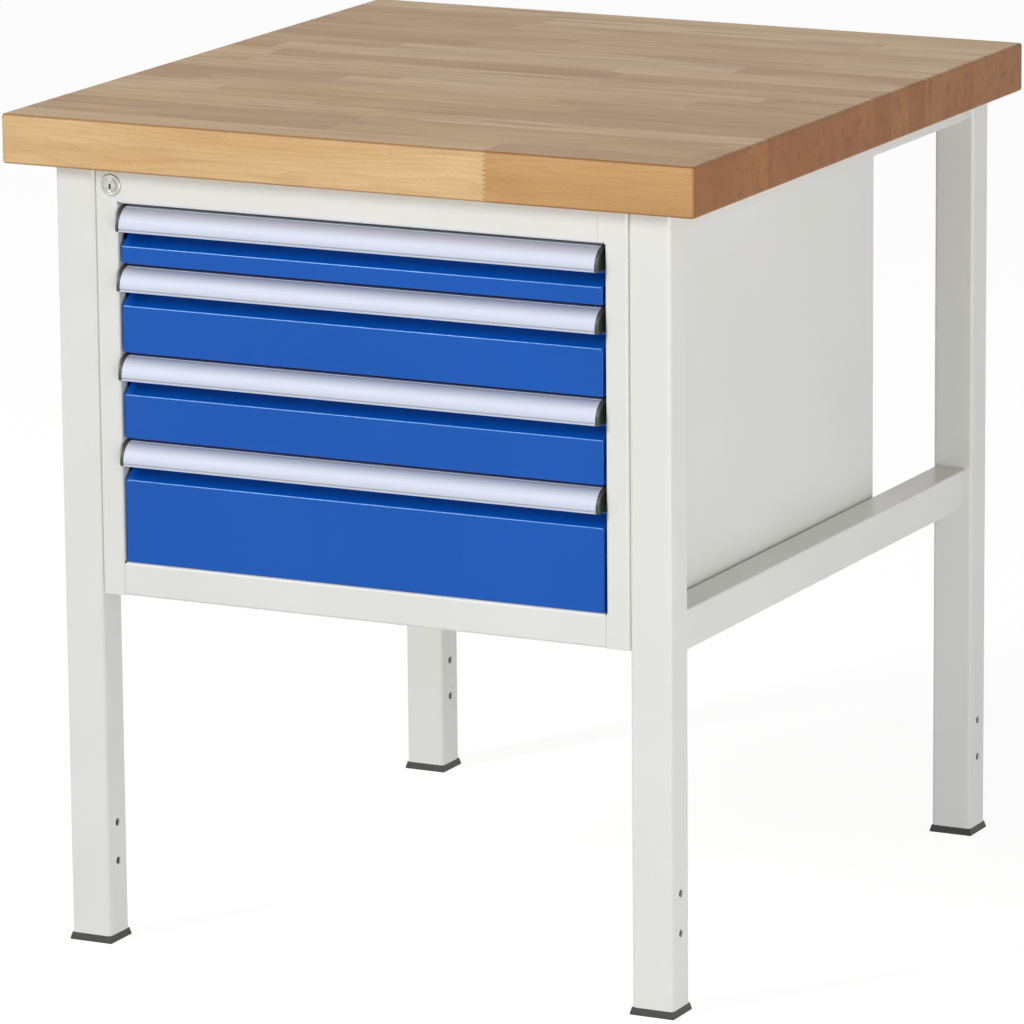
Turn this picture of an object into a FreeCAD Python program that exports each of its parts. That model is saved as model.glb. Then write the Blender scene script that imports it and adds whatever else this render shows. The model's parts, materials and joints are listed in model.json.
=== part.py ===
import FreeCAD, Part
import os
import Sketcher

# Workbench with a beech top, a painted steel frame and four drawers.
# Millimetres. X runs to the right along the front, Y towards the back, Z up.
# The origin is on the floor, under the middle of the worktop.

doc = FreeCAD.newDocument("Workbench")

# Driving dimensions
sizes = {
    # worktop
    "bench_height": 840,
    "worktop_width": 750,
    "worktop_depth": 800,
    "worktop_thickness": 50,
    "worktop_edge_radius": 3,
    # legs and where they stand under the worktop
    "left_overhang": 50,
    "right_overhang": 33,
    "front_overhang": 17,
    "back_overhang": 11,
    "leg_width": 44,
    "leg_depth": 38,
    "leg_wall": 2,
    "leg_corner_radius": 4,
    "leg_hole_height": 82,
    "leg_hole_pitch": 40,
    "leg_hole_radius": 4,
    # plastic feet
    "foot_height": 7.5,
    "foot_flare": 1.6,
    "foot_plug_length": 18,
    "foot_plug_clearance": 0.2,
    "foot_edge_radius": 0.8,
    # rails between the legs
    "rail_width": 36,
    "rail_wall": 2,
    "rail_corner_radius": 2,
    "rail_inset": 6,
    "lower_rail_height": 40,
    "lower_rail_drop": 6,
    "upper_rail_height": 25,
    "cross_rail_depth": 30,
    # screws that hold the worktop
    "worktop_screw_radius": 3,
    "worktop_screw_grip": 28,
    "worktop_screw_head_radius": 6.5,
    "worktop_screw_head_height": 3.5,
    "worktop_screw_margin": 60,
    "screw_clearance": 0.25,
    # cabinet shell
    "cabinet_gap": 0.3,
    "cabinet_depth": 580,
    "cabinet_sheet": 1.5,
    "bend_radius": 2,
    "stile_width": 24.7,
    "front_rail_height": 34,
    "return_depth": 14,
    "rail_flange_depth": 22,
    "rear_flange_width": 18,
    "seam_gap": 0.4,
    "seam_depth": 0.4,
    "seam_margin": 7,
    "corner_relief": 1.6,
    "floor_flange_height": 12,
    # bolts between the cabinet and the front legs
    "cabinet_bolt_radius": 3,
    "cabinet_bolt_head_radius": 5.5,
    "cabinet_bolt_head_height": 3,
    "cabinet_bolt_reach": 6,
    "cabinet_bolt_margin": 28,
    # drawer rows, from the top down
    "row_1_height": 59.5,
    "row_2_height": 89,
    "row_3_height": 86,
    "row_4_height": 125.5,
    "row_gap": 2.5,
    # drawer fronts
    "front_side_gap": 3,
    "front_recess": 1.4,
    "front_sheet": 1.2,
    "front_bend_radius": 3,
    "front_side_radius": 1,
    "bevel_depth": 13,
    "bevel_rise": 11,
    "head_height": 40,
    # handle strips
    "handle_side_gap": 2.5,
    "handle_ledge": 0.8,
    "handle_radius": 21,
    "handle_lip": 3,
    "handle_wall": 2,
    "handle_plate_height": 17,
    "handle_lip_radius": 0.9,
    "handle_groove_radius": 0.6,
    "handle_groove_rise": 3,
    "cap_thickness": 3.8,
    "cap_corner_radius": 1.2,
    # drawer trays
    "tray_sheet": 1.2,
    "tray_lift": 3,
    "tray_headroom": 16,
    "tray_corner_radius": 2,
    "tray_rim": 4,
    # three-part drawer runners
    "runner_height": 34,
    "runner_thickness": 12.5,
    "runner_sheet": 1.2,
    "runner_play": 0.5,
    "runner_lift": 20,
    "runner_front_gap": 21,
    "runner_rear_gap": 59,
    # posts that carry the runners
    "post_width": 30,
    "post_sheet": 1.5,
    "post_front_gap": 28,
    "post_rear_margin": 12,
    # lock
    "lock_inset": 6.4,
    "lock_rise": 18,
    "lock_ring_radius": 11,
    "lock_ring_height": 2,
    "lock_ring_edge": 0.7,
    "lock_barrel_radius": 8,
    "lock_barrel_length": 14,
    "lock_core_radius": 6.2,
    "lock_core_rise": 0.6,
    "lock_core_tail": 1,
    "lock_running_clearance": 0.08,
    "lock_nut_radius": 10.5,
    "lock_nut_height": 3,
    "keyway_width": 2.2,
    "keyway_height": 6.5,
    "keyway_depth": 6,
    "cam_thickness": 2,
    "cam_boss_radius": 7,
    "cam_reach": 12.5,
    "cam_finger_width": 6,
    # locking bar and the studs that guide it
    "bar_width": 10,
    "bar_thickness": 2,
    "bar_side_gap": 6,
    "bar_play": 0.3,
    "bar_travel": 6.5,
    "bar_drop": 8.5,
    "bar_foot_gap": 30,
    "hook_length": 5,
    "hook_height": 8,
    "hook_fall": 14,
    "stud_radius": 2.5,
    "stud_head_radius": 4,
    "stud_head_height": 1.5,
    "stud_margin": 60,
    # how far cuts run past what they cut
    "overrun": 5,
}

# Shares of the sizes that they follow
groove_run_share = 0.28
groove_fall_share = 0.04

sheet = doc.addObject("Spreadsheet::Sheet", "Sizes")
for row, (name, number) in enumerate(sizes.items(), start=1):
    sheet.set("A%d" % row, name)
    sheet.set("B%d" % row, str(number))
    sheet.setAlias("B%d" % row, name)
doc.recompute()


class Size:
    # A length with the sheet expression that gives it
    def __init__(self, value, text):
        self.value = value
        self.text = text

    def __add__(self, other):
        return Size(self.value + value_of(other), "(%s + %s)" % (self.text, text_of(other)))

    def __sub__(self, other):
        return Size(self.value - value_of(other), "(%s - %s)" % (self.text, text_of(other)))

    def __mul__(self, share):
        return Size(self.value * share, "(%s * %r)" % (self.text, share))

    def __truediv__(self, parts):
        return Size(self.value / parts, "(%s / %r)" % (self.text, parts))

    def __neg__(self):
        return self * -1


def value_of(item):
    return item.value if isinstance(item, Size) else item


def text_of(item):
    return item.text if isinstance(item, Size) else repr(item)


class Names:
    pass


s = Names()
for name in sizes:
    setattr(s, name, Size(getattr(sheet, name), "Sizes." + name))
nothing = Size(0, "0")


def total(items):
    amount = nothing
    for item in items:
        amount = amount + item
    return amount


# Places that several pieces share
underside = s.bench_height - s.worktop_thickness
frame_left = s.left_overhang - s.worktop_width / 2
frame_right = s.worktop_width / 2 - s.right_overhang
frame_front = s.front_overhang - s.worktop_depth / 2
frame_back = s.worktop_depth / 2 - s.back_overhang
rear_leg_front = frame_back - s.leg_depth
rail_front = frame_front + s.leg_depth
rail_length = rear_leg_front - rail_front

cabinet_left = frame_left + s.leg_width + s.cabinet_gap
cabinet_right = frame_right - s.leg_width - s.cabinet_gap
opening_left = cabinet_left + s.stile_width
opening_right = cabinet_right - s.stile_width
opening_width = opening_right - opening_left
row_heights = [s.row_1_height, s.row_2_height, s.row_3_height, s.row_4_height]
opening_height = total(row_heights)
opening_top = underside - s.front_rail_height
opening_bottom = opening_top - opening_height
cabinet_bottom = opening_bottom - s.front_rail_height
cabinet_height = underside - cabinet_bottom
floor_top = cabinet_bottom + s.cabinet_sheet * 2
roof_bottom = underside - s.cabinet_sheet

web_place = frame_front + s.front_recess + s.bevel_depth
tray_front = web_place + s.front_sheet
tray_width = opening_width - s.runner_thickness * 2
runner_front = frame_front + s.runner_front_gap
runner_length = s.cabinet_depth - s.runner_front_gap - s.runner_rear_gap
handle_width = opening_width - s.handle_side_gap * 2
grip_start = s.handle_wall + s.handle_ledge
handle_reach = grip_start + s.handle_radius
handle_drop = s.handle_radius + s.handle_lip
post_front = frame_front + s.post_front_gap
post_bottom = floor_top + s.floor_flange_height - s.cabinet_sheet

lock_x = opening_left - s.lock_inset
lock_z = opening_top + s.lock_rise
lock_hole_radius = s.lock_barrel_radius + s.screw_clearance
core_end = s.lock_barrel_length + s.lock_core_tail
bar_left = opening_left - s.bar_side_gap - s.bar_width
bar_front = post_front - s.bar_play - s.bar_thickness
bar_bottom = opening_bottom + s.bar_foot_gap
bar_top = lock_z - s.bar_drop

parts = []


# Helpers

def place(piece, x=nothing, y=nothing, z=nothing):
    for axis, distance in (("x", x), ("y", y), ("z", z)):
        piece.setExpression("Placement.Base." + axis, distance.text)


def keep(piece, label):
    piece.Label = label
    parts.append(piece)
    return piece


def start_body(label):
    body = doc.addObject("PartDesign::Body", "body_" + label)
    body.Label = label
    return body


def start_sketch(body, role, level=None):
    sketch = body.newObject("Sketcher::SketchObject", "sketch")
    origin_plane = next(item for item in body.Origin.OriginFeatures if item.Role == role)
    sketch.AttachmentSupport = [(origin_plane, "")]
    sketch.MapMode = "FlatFace"
    if level is not None:
        sketch.setExpression("AttachmentOffset.Base.z", level.text)
    return sketch


def pin(sketch, kind, item, point, distance):
    number = sketch.addConstraint(Sketcher.Constraint(kind, -1, 1, item, point, distance.value))
    sketch.setExpression("Constraints[%d]" % number, distance.text)


def draw_outline(body, role, corners, level=None):
    # A closed outline of straight lines, each corner pinned to the origin
    sketch = start_sketch(body, role, level)
    points = [FreeCAD.Vector(across.value, up.value, 0) for across, up in corners]
    count = len(points)
    for item in range(count):
        sketch.addGeometry(Part.LineSegment(points[item], points[(item + 1) % count]), False)
    for item in range(count):
        sketch.addConstraint(Sketcher.Constraint("Coincident", item, 2, (item + 1) % count, 1))
    for item, (across, up) in enumerate(corners):
        pin(sketch, "DistanceX", item, 1, across)
        pin(sketch, "DistanceY", item, 1, up)
    return sketch


def draw_rectangle(body, role, left, bottom, right, top, level=None):
    corners = [(left, bottom), (right, bottom), (right, top), (left, top)]
    return draw_outline(body, role, corners, level)


def draw_circles(body, role, centres, radius, level=None):
    sketch = start_sketch(body, role, level)
    upward = FreeCAD.Vector(0, 0, 1)
    for item, (across, up) in enumerate(centres):
        centre = FreeCAD.Vector(across.value, up.value, 0)
        sketch.addGeometry(Part.Circle(centre, upward, radius.value), False)
        pin(sketch, "DistanceX", item, 3, across)
        pin(sketch, "DistanceY", item, 3, up)
        number = sketch.addConstraint(Sketcher.Constraint("Radius", item, radius.value))
        sketch.setExpression("Constraints[%d]" % number, radius.text)
    return sketch


def extrude(body, kind, sketch, length, backwards):
    # Pads and pockets run towards the positive axis, or the other way when backwards
    feature = body.newObject("PartDesign::" + kind, kind.lower())
    feature.Profile = sketch
    runs_negative = (sketch.AttachmentSupport[0][0].Role == "XZ_Plane") == (kind == "Pad")
    feature.Reversed = runs_negative != backwards
    feature.setExpression("Length", length.text)


def pad(body, sketch, length, backwards=False):
    extrude(body, "Pad", sketch, length, backwards)


def pocket(body, sketch, length, backwards=False):
    extrude(body, "Pocket", sketch, length, backwards)


def matches(point, wanted):
    tolerance = 0.001
    return all(abs(getattr(point, axis) - distance.value) < tolerance for axis, distance in wanted.items())


def edges_at(body, **wanted):
    # Names of the edges whose two ends both lie at the given coordinates
    doc.recompute()
    names = []
    for number, edge in enumerate(body.Shape.Edges, start=1):
        if len(edge.Vertexes) == 2 and all(matches(vertex.Point, wanted) for vertex in edge.Vertexes):
            names.append("Edge%d" % number)
    return names


def round_edges(body, names, radius):
    base = body.Tip
    feature = body.newObject("PartDesign::Fillet", "fillet")
    feature.Base = (base, names)
    feature.setExpression("Radius", radius.text)


def add_box(x, y, z, width, depth, height):
    box = doc.addObject("Part::Box", "box")
    box.setExpression("Length", width.text)
    box.setExpression("Width", depth.text)
    box.setExpression("Height", height.text)
    place(box, x, y, z)
    return box


def add_cylinder(direction, x, y, z, radius, height):
    rod = doc.addObject("Part::Cylinder", "rod")
    rod.Placement.Rotation = FreeCAD.Rotation(FreeCAD.Vector(0, 0, 1), FreeCAD.Vector(*direction))
    rod.setExpression("Radius", radius.text)
    rod.setExpression("Height", height.text)
    place(rod, x, y, z)
    return rod


def join(pieces):
    whole = doc.addObject("Part::MultiFuse", "joined")
    whole.Shapes = pieces
    return whole


def cut(base, tool):
    rest = doc.addObject("Part::Cut", "cut")
    rest.Base = base
    rest.Tool = tool
    return rest


def group(label, pieces):
    # Several separate solids that share one node
    together = doc.addObject("Part::Compound", "group_" + label)
    together.Links = pieces
    return keep(together, label)


right = (1, 0, 0)
left = (-1, 0, 0)
back = (0, 1, 0)
up = (0, 0, 1)


# Places of the worktop screws: three along each side rail, two along the cross rail
left_rail_x = frame_left + s.rail_inset
right_rail_x = frame_right - s.rail_inset - s.rail_width
cross_rail_x = frame_left + s.leg_width
cross_rail_y = rear_leg_front + (s.leg_depth - s.cross_rail_depth) / 2
cross_rail_length = frame_right - s.leg_width - cross_rail_x
side_screw_runs = [s.worktop_screw_margin, rail_length / 2, rail_length - s.worktop_screw_margin]
cross_screw_runs = [s.worktop_screw_margin, cross_rail_length - s.worktop_screw_margin]


def worktop_screw_places():
    places = []
    for rail_x in (left_rail_x, right_rail_x):
        places += [(rail_x + s.rail_width / 2, rail_front + run) for run in side_screw_runs]
    places += [(cross_rail_x + run, cross_rail_y + s.cross_rail_depth / 2) for run in cross_screw_runs]
    return places


# Worktop: one glued beech slab with softened edges and blind screw holes below
def make_worktop():
    body = start_body("worktop")
    half_width = s.worktop_width / 2
    half_depth = s.worktop_depth / 2
    pad(body, draw_rectangle(body, "XY_Plane", -half_width, -half_depth, half_width, half_depth),
        s.worktop_thickness)
    doc.recompute()
    names = ["Edge%d" % number for number in range(1, len(body.Shape.Edges) + 1)]
    round_edges(body, names, s.worktop_edge_radius)
    hole_radius = s.worktop_screw_radius + s.screw_clearance
    depth = s.worktop_screw_grip + s.screw_clearance
    pocket(body, draw_circles(body, "XY_Plane", worktop_screw_places(), hole_radius), depth)
    place(body, z=underside)
    keep(body, "worktop")


# Legs: rectangular steel tube with two spare holes near the floor
def make_leg(label, x, y, bolt_side=0):
    body = start_body(label)
    length = underside - s.foot_height
    pad(body, draw_rectangle(body, "XY_Plane", nothing, nothing, s.leg_width, s.leg_depth), length)
    names = []
    for corner_x in (nothing, s.leg_width):
        for corner_y in (nothing, s.leg_depth):
            names += edges_at(body, x=corner_x, y=corner_y)
    round_edges(body, names, s.leg_corner_radius)
    inner = draw_rectangle(body, "XY_Plane", s.leg_wall, s.leg_wall,
                           s.leg_width - s.leg_wall, s.leg_depth - s.leg_wall)
    pocket(body, inner, length)
    low = s.leg_hole_height - s.foot_height
    centres = [(s.leg_depth / 2, low), (s.leg_depth / 2, low + s.leg_hole_pitch)]
    pocket(body, draw_circles(body, "YZ_Plane", centres, s.leg_hole_radius), s.leg_width)
    if bolt_side:
        # clearance holes for the cabinet bolts in the wall that faces the cabinet
        level = s.leg_width - s.leg_wall if bolt_side > 0 else nothing
        heights = [height - s.foot_height for height in cabinet_bolt_heights()]
        centres = [(s.leg_depth / 2, height) for height in heights]
        radius = s.cabinet_bolt_radius + s.screw_clearance
        pocket(body, draw_circles(body, "YZ_Plane", centres, radius, level), s.leg_wall)
    place(body, x, y, s.foot_height)
    keep(body, label)


def cabinet_bolt_heights():
    return [cabinet_bottom + s.front_rail_height + s.cabinet_bolt_margin, opening_top - s.cabinet_bolt_margin]


# Feet: flared plastic caps with a plug that sits inside the leg tube
def make_foot(label, x, y):
    body = start_body(label)
    pad(body, draw_rectangle(body, "XY_Plane", -s.foot_flare, -s.foot_flare,
                             s.leg_width + s.foot_flare, s.leg_depth + s.foot_flare), s.foot_height)
    top_names = edges_at(body, z=s.foot_height)
    base = body.Tip
    slope = body.newObject("PartDesign::Chamfer", "slope")
    slope.Base = (base, top_names)
    slope.ChamferType = "Two distances"
    slope.setExpression("Size", s.foot_flare.text)
    slope.setExpression("Size2", (s.foot_height - s.foot_edge_radius * 2).text)
    doc.recompute()
    if abs(width_at_top(body) - s.leg_width.value) > s.foot_flare.value / 2:
        slope.FlipDirection = True
        doc.recompute()
    round_edges(body, edges_at(body, z=nothing), s.foot_edge_radius)
    inset = s.leg_wall + s.foot_plug_clearance
    plug = draw_rectangle(body, "XY_Plane", inset, inset, s.leg_width - inset, s.leg_depth - inset)
    pad(body, plug, s.foot_height + s.foot_plug_length)
    place(body, x, y)
    keep(body, label)


def width_at_top(body):
    top = max(body.Shape.Faces, key=lambda face: face.CenterOfMass.z)
    return top.BoundBox.XLength


# Side rails: rectangular tubes between a front leg and a rear leg
def make_side_rail(label, x, z, height, screw_runs=()):
    body = start_body(label)
    section = draw_rectangle(body, "XZ_Plane", nothing, nothing, s.rail_width, height)
    pad(body, section, rail_length)
    hollow_tube(body, "XZ_Plane", s.rail_width, height, rail_length)
    if screw_runs:
        centres = [(s.rail_width / 2, run) for run in screw_runs]
        radius = s.worktop_screw_radius + s.screw_clearance
        pocket(body, draw_circles(body, "XY_Plane", centres, radius), height)
    place(body, x, rail_front, z)
    keep(body, label)


def hollow_tube(body, role, width, height, length):
    # Rounds the four long edges of a tube and cuts out its inside
    names = []
    across_axis = "x" if role == "XZ_Plane" else "y"
    for across in (nothing, width):
        for level in (nothing, height):
            names += edges_at(body, **{across_axis: across, "z": level})
    round_edges(body, names, s.rail_corner_radius)
    inner = draw_rectangle(body, role, s.rail_wall, s.rail_wall, width - s.rail_wall, height - s.rail_wall)
    pocket(body, inner, length)


# Rear cross rail: ties the two side frames together under the worktop
def make_rear_cross_rail():
    body = start_body("rear_cross_rail")
    section = draw_rectangle(body, "YZ_Plane", nothing, nothing, s.cross_rail_depth, s.upper_rail_height)
    pad(body, section, cross_rail_length)
    hollow_tube(body, "YZ_Plane", s.cross_rail_depth, s.upper_rail_height, cross_rail_length)
    centres = [(run, s.cross_rail_depth / 2) for run in cross_screw_runs]
    radius = s.worktop_screw_radius + s.screw_clearance
    pocket(body, draw_circles(body, "XY_Plane", centres, radius), s.upper_rail_height)
    place(body, cross_rail_x, cross_rail_y, underside - s.upper_rail_height)
    keep(body, "rear_cross_rail")


# Worktop screws: pan heads under the rails, shanks up into the slab
def make_worktop_screws():
    screws = []
    rail_bottom = underside - s.upper_rail_height
    for x, y in worktop_screw_places():
        head = add_cylinder(up, x, y, rail_bottom - s.worktop_screw_head_height,
                            s.worktop_screw_head_radius, s.worktop_screw_head_height)
        shank = add_cylinder(up, x, y, rail_bottom, s.worktop_screw_radius,
                             s.upper_rail_height + s.worktop_screw_grip)
        screws.append(join([head, shank]))
    group("worktop_screws", screws)


# Cabinet sides: one bent sheet each, with the front stile, its return and a rear flange.
# side is 1 for the left sheet and -1 for its mirror image.
def make_cabinet_side(label, side):
    body = start_body(label)
    sheet_metal = s.cabinet_sheet
    back_inner = s.cabinet_depth - sheet_metal
    wall_outline = [(nothing, nothing), (s.stile_width, nothing), (s.stile_width, sheet_metal),
                    (sheet_metal, sheet_metal), (sheet_metal, back_inner),
                    (s.rear_flange_width, back_inner), (s.rear_flange_width, s.cabinet_depth),
                    (nothing, s.cabinet_depth)]
    return_outline = list(wall_outline)
    inner_x = s.stile_width - sheet_metal
    return_outline[2:3] = [(s.stile_width, s.return_depth), (inner_x, s.return_depth), (inner_x, sheet_metal)]
    opening_start = s.front_rail_height
    opening_end = opening_start + opening_height
    pad(body, draw_outline(body, "XY_Plane", mirrored(return_outline, side), opening_start), opening_height)
    outer = s.bend_radius + sheet_metal
    round_edges(body, edges_at(body, x=s.stile_width * side, y=nothing), outer)
    round_edges(body, edges_at(body, x=inner_x * side, y=sheet_metal), s.bend_radius)
    for start, height in ((nothing, opening_start), (opening_end, s.front_rail_height)):
        pad(body, draw_outline(body, "XY_Plane", mirrored(wall_outline, side), start), height)
    for corner_x, corner_y, radius in (
            (nothing, nothing, outer), (nothing, s.cabinet_depth, outer),
            (sheet_metal, sheet_metal, s.bend_radius), (sheet_metal, back_inner, s.bend_radius)):
        round_edges(body, edges_at(body, x=corner_x * side, y=corner_y), radius)
    centres = [(s.leg_depth / 2, height - cabinet_bottom) for height in cabinet_bolt_heights()]
    radius = s.cabinet_bolt_radius + s.screw_clearance
    hole = draw_circles(body, "YZ_Plane", centres, radius)
    pocket(body, hole, sheet_metal, backwards=side < 0)
    if side > 0:
        centre = [(s.stile_width - s.lock_inset, opening_end + s.lock_rise)]
        pocket(body, draw_circles(body, "XZ_Plane", centre, lock_hole_radius), sheet_metal)
    place(body, cabinet_left if side > 0 else cabinet_right, frame_front, cabinet_bottom)
    keep(body, label)


def mirrored(corners, side):
    return [(across * side, up) for across, up in corners]


# Front rails of the cabinet: bent channels above and below the drawers
def make_front_rail(label, upper):
    body = start_body(label)
    sheet_metal = s.cabinet_sheet
    height = s.front_rail_height
    near_depth = s.return_depth if upper else s.rail_flange_depth
    far_depth = s.rail_flange_depth if upper else s.return_depth
    outline = [(nothing, nothing), (near_depth, nothing), (near_depth, sheet_metal),
               (sheet_metal, sheet_metal), (sheet_metal, height - sheet_metal),
               (far_depth, height - sheet_metal), (far_depth, height), (nothing, height)]
    end_gap = nothing if upper else s.seam_gap
    length = opening_width - end_gap * 2
    pad(body, draw_outline(body, "YZ_Plane", outline), length)
    outer = s.bend_radius + sheet_metal
    inner_corners = ((sheet_metal, sheet_metal), (sheet_metal, height - sheet_metal))
    for corner_y, corner_z in inner_corners:
        round_edges(body, edges_at(body, y=corner_y, z=corner_z), s.bend_radius)
    for corner_z in (nothing, height):
        round_edges(body, edges_at(body, y=nothing, z=corner_z), outer)
    # the flange beside the opening stops short of the stiles
    relief = s.corner_relief
    relief_z = nothing if upper else height - relief
    for corner_x in (nothing, length - relief):
        notch = draw_rectangle(body, "XY_Plane", corner_x, nothing, corner_x + relief, s.return_depth, relief_z)
        pocket(body, notch, relief)
    if upper:
        # a shallow groove shows where the right end was welded on
        groove_x = length - s.seam_margin
        pocket(body, draw_rectangle(body, "XZ_Plane", groove_x - s.seam_gap, outer, groove_x, height),
               s.seam_depth)
        if s.lock_inset.value < lock_hole_radius.value:
            # the hole for the lock reaches past the stile into this rail
            pocket(body, draw_circles(body, "XZ_Plane", [(-s.lock_inset, s.lock_rise)], lock_hole_radius),
                   sheet_metal)
    place(body, opening_left + end_gap, frame_front, opening_top if upper else cabinet_bottom)
    keep(body, label)


# Floor, back and roof of the cabinet: folded sheets between the two sides
def make_cabinet_floor():
    body = start_body("cabinet_floor")
    sheet_metal = s.cabinet_sheet
    width = cabinet_right - cabinet_left - sheet_metal * 2
    rise = s.floor_flange_height
    outline = [(nothing, nothing), (width, nothing), (width, rise), (width - sheet_metal, rise),
               (width - sheet_metal, sheet_metal), (sheet_metal, sheet_metal), (sheet_metal, rise),
               (nothing, rise)]
    start = sheet_metal + s.bend_radius
    length = s.cabinet_depth - start * 2
    pad(body, draw_outline(body, "XZ_Plane", outline), length)
    corners = []
    for corner_x in (nothing, width):
        corners += edges_at(body, x=corner_x, z=nothing)
    round_edges(body, corners, s.bend_radius)
    place(body, cabinet_left + sheet_metal, frame_front + start, cabinet_bottom + sheet_metal)
    keep(body, "cabinet_floor")


def make_cabinet_back():
    sheet_metal = s.cabinet_sheet
    inset = sheet_metal + s.bend_radius
    panel = add_box(cabinet_left + inset, frame_front + s.cabinet_depth - sheet_metal * 2, cabinet_bottom,
                    cabinet_right - cabinet_left - inset * 2, sheet_metal, cabinet_height)
    keep(panel, "cabinet_back")


def make_cabinet_roof():
    sheet_metal = s.cabinet_sheet
    width = cabinet_right - cabinet_left - sheet_metal * 2
    start = frame_front + s.rail_flange_depth
    length = s.cabinet_depth - s.rail_flange_depth - sheet_metal - s.bend_radius
    panel = add_box(cabinet_left + sheet_metal, start, roof_bottom, width, length, sheet_metal)
    keep(panel, "cabinet_roof")


# Posts inside the cabinet: U-shaped channels, front and rear, that carry the runners
def make_runner_posts(label, side):
    depth = s.stile_width - s.cabinet_sheet
    rear_y = runner_front + runner_length - s.post_rear_margin - s.post_width
    posts = []
    for y in (post_front, rear_y):
        body = start_body(label + "_channel")
        sheet_metal = s.post_sheet
        outline = [(nothing, nothing), (depth, nothing), (depth, s.post_width), (nothing, s.post_width),
                   (nothing, s.post_width - sheet_metal), (depth - sheet_metal, s.post_width - sheet_metal),
                   (depth - sheet_metal, sheet_metal), (nothing, sheet_metal)]
        pad(body, draw_outline(body, "XY_Plane", mirrored(outline, side)), roof_bottom - post_bottom)
        wall = cabinet_left + s.cabinet_sheet if side > 0 else cabinet_right - s.cabinet_sheet
        place(body, wall, y, post_bottom)
        posts.append(body)
    group(label, posts)


# Bolts from inside the cabinet into the front legs
def make_cabinet_bolts():
    bolts = []
    y = frame_front + s.leg_depth / 2
    reach = s.cabinet_sheet + s.cabinet_gap + s.leg_wall + s.cabinet_bolt_reach
    for z in cabinet_bolt_heights():
        for wall, inward, outward in ((cabinet_left + s.cabinet_sheet, right, left),
                                      (cabinet_right - s.cabinet_sheet, left, right)):
            head = add_cylinder(inward, wall, y, z, s.cabinet_bolt_head_radius, s.cabinet_bolt_head_height)
            shank = add_cylinder(outward, wall, y, z, s.cabinet_bolt_radius, reach)
            bolts.append(join([head, shank]))
    group("cabinet_bolts", bolts)


# Runner sections, across from the post (0) towards the tray
def runner_outline(member):
    sheet_metal = s.runner_sheet
    half = s.runner_height / 2
    step = sheet_metal + s.runner_play
    if member == "cabinet":
        reach = s.runner_thickness - s.runner_play * 4
        inner = half - sheet_metal
        return [(nothing, -half), (reach, -half), (reach, -inner), (sheet_metal, -inner),
                (sheet_metal, inner), (reach, inner), (reach, half), (nothing, half)]
    if member == "middle":
        outer = half - step
        inner = outer - sheet_metal
        start = step
        reach = s.runner_thickness - s.runner_play * 4
        web = s.runner_thickness / 2 - sheet_metal / 2
        return [(start, -outer), (reach, -outer), (reach, -inner), (web + sheet_metal, -inner),
                (web + sheet_metal, inner), (reach, inner), (reach, outer), (start, outer),
                (start, inner), (web, inner), (web, -inner), (start, -inner)]
    outer = half - step * 2
    inner = outer - sheet_metal
    start = s.runner_thickness / 2 + sheet_metal / 2 + s.runner_play
    web = s.runner_thickness - sheet_metal
    return [(start, -outer), (s.runner_thickness, -outer), (s.runner_thickness, outer), (start, outer),
            (start, inner), (web, inner), (web, -inner), (start, -inner)]


def make_runners(label, member, level):
    rails = []
    for side in (1, -1):
        body = start_body(label + "_rail")
        outline = mirrored(runner_outline(member), side)
        pad(body, draw_outline(body, "XZ_Plane", outline), runner_length)
        place(body, opening_left if side > 0 else opening_right, runner_front, level)
        rails.append(body)
    group(label, rails)


# Drawer fronts: one bent blue sheet with a bevel and closed ends
def make_drawer_front(label, front_height, bottom):
    body = start_body(label)
    sheet_metal = s.front_sheet
    width = opening_width - s.front_side_gap * 2
    face = front_height - s.head_height
    shoulder = face + s.bevel_rise
    web_back = s.bevel_depth + sheet_metal
    outline = [(nothing, nothing), (nothing, face), (s.bevel_depth, shoulder), (s.bevel_depth, front_height),
               (web_back, front_height), (web_back, shoulder), (sheet_metal, face),
               (sheet_metal, sheet_metal), (web_back, sheet_metal), (web_back, nothing)]
    end_outline = [(nothing, nothing), (nothing, face), (s.bevel_depth, shoulder),
                   (s.bevel_depth, front_height), (web_back, front_height), (web_back, nothing)]
    pad(body, draw_outline(body, "YZ_Plane", outline), width)
    for start in (nothing, width - sheet_metal):
        pad(body, draw_outline(body, "YZ_Plane", end_outline, start), sheet_metal)
    round_edges(body, edges_at(body, y=nothing, z=face), s.front_bend_radius)
    round_edges(body, edges_at(body, y=s.bevel_depth, z=shoulder), s.front_bend_radius)
    sides = edges_at(body, x=nothing, y=nothing) + edges_at(body, x=width, y=nothing)
    round_edges(body, sides + edges_at(body, y=nothing, z=nothing), s.front_side_radius)
    place(body, opening_left + s.front_side_gap, frame_front + s.front_recess, bottom)
    keep(body, label)


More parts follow.
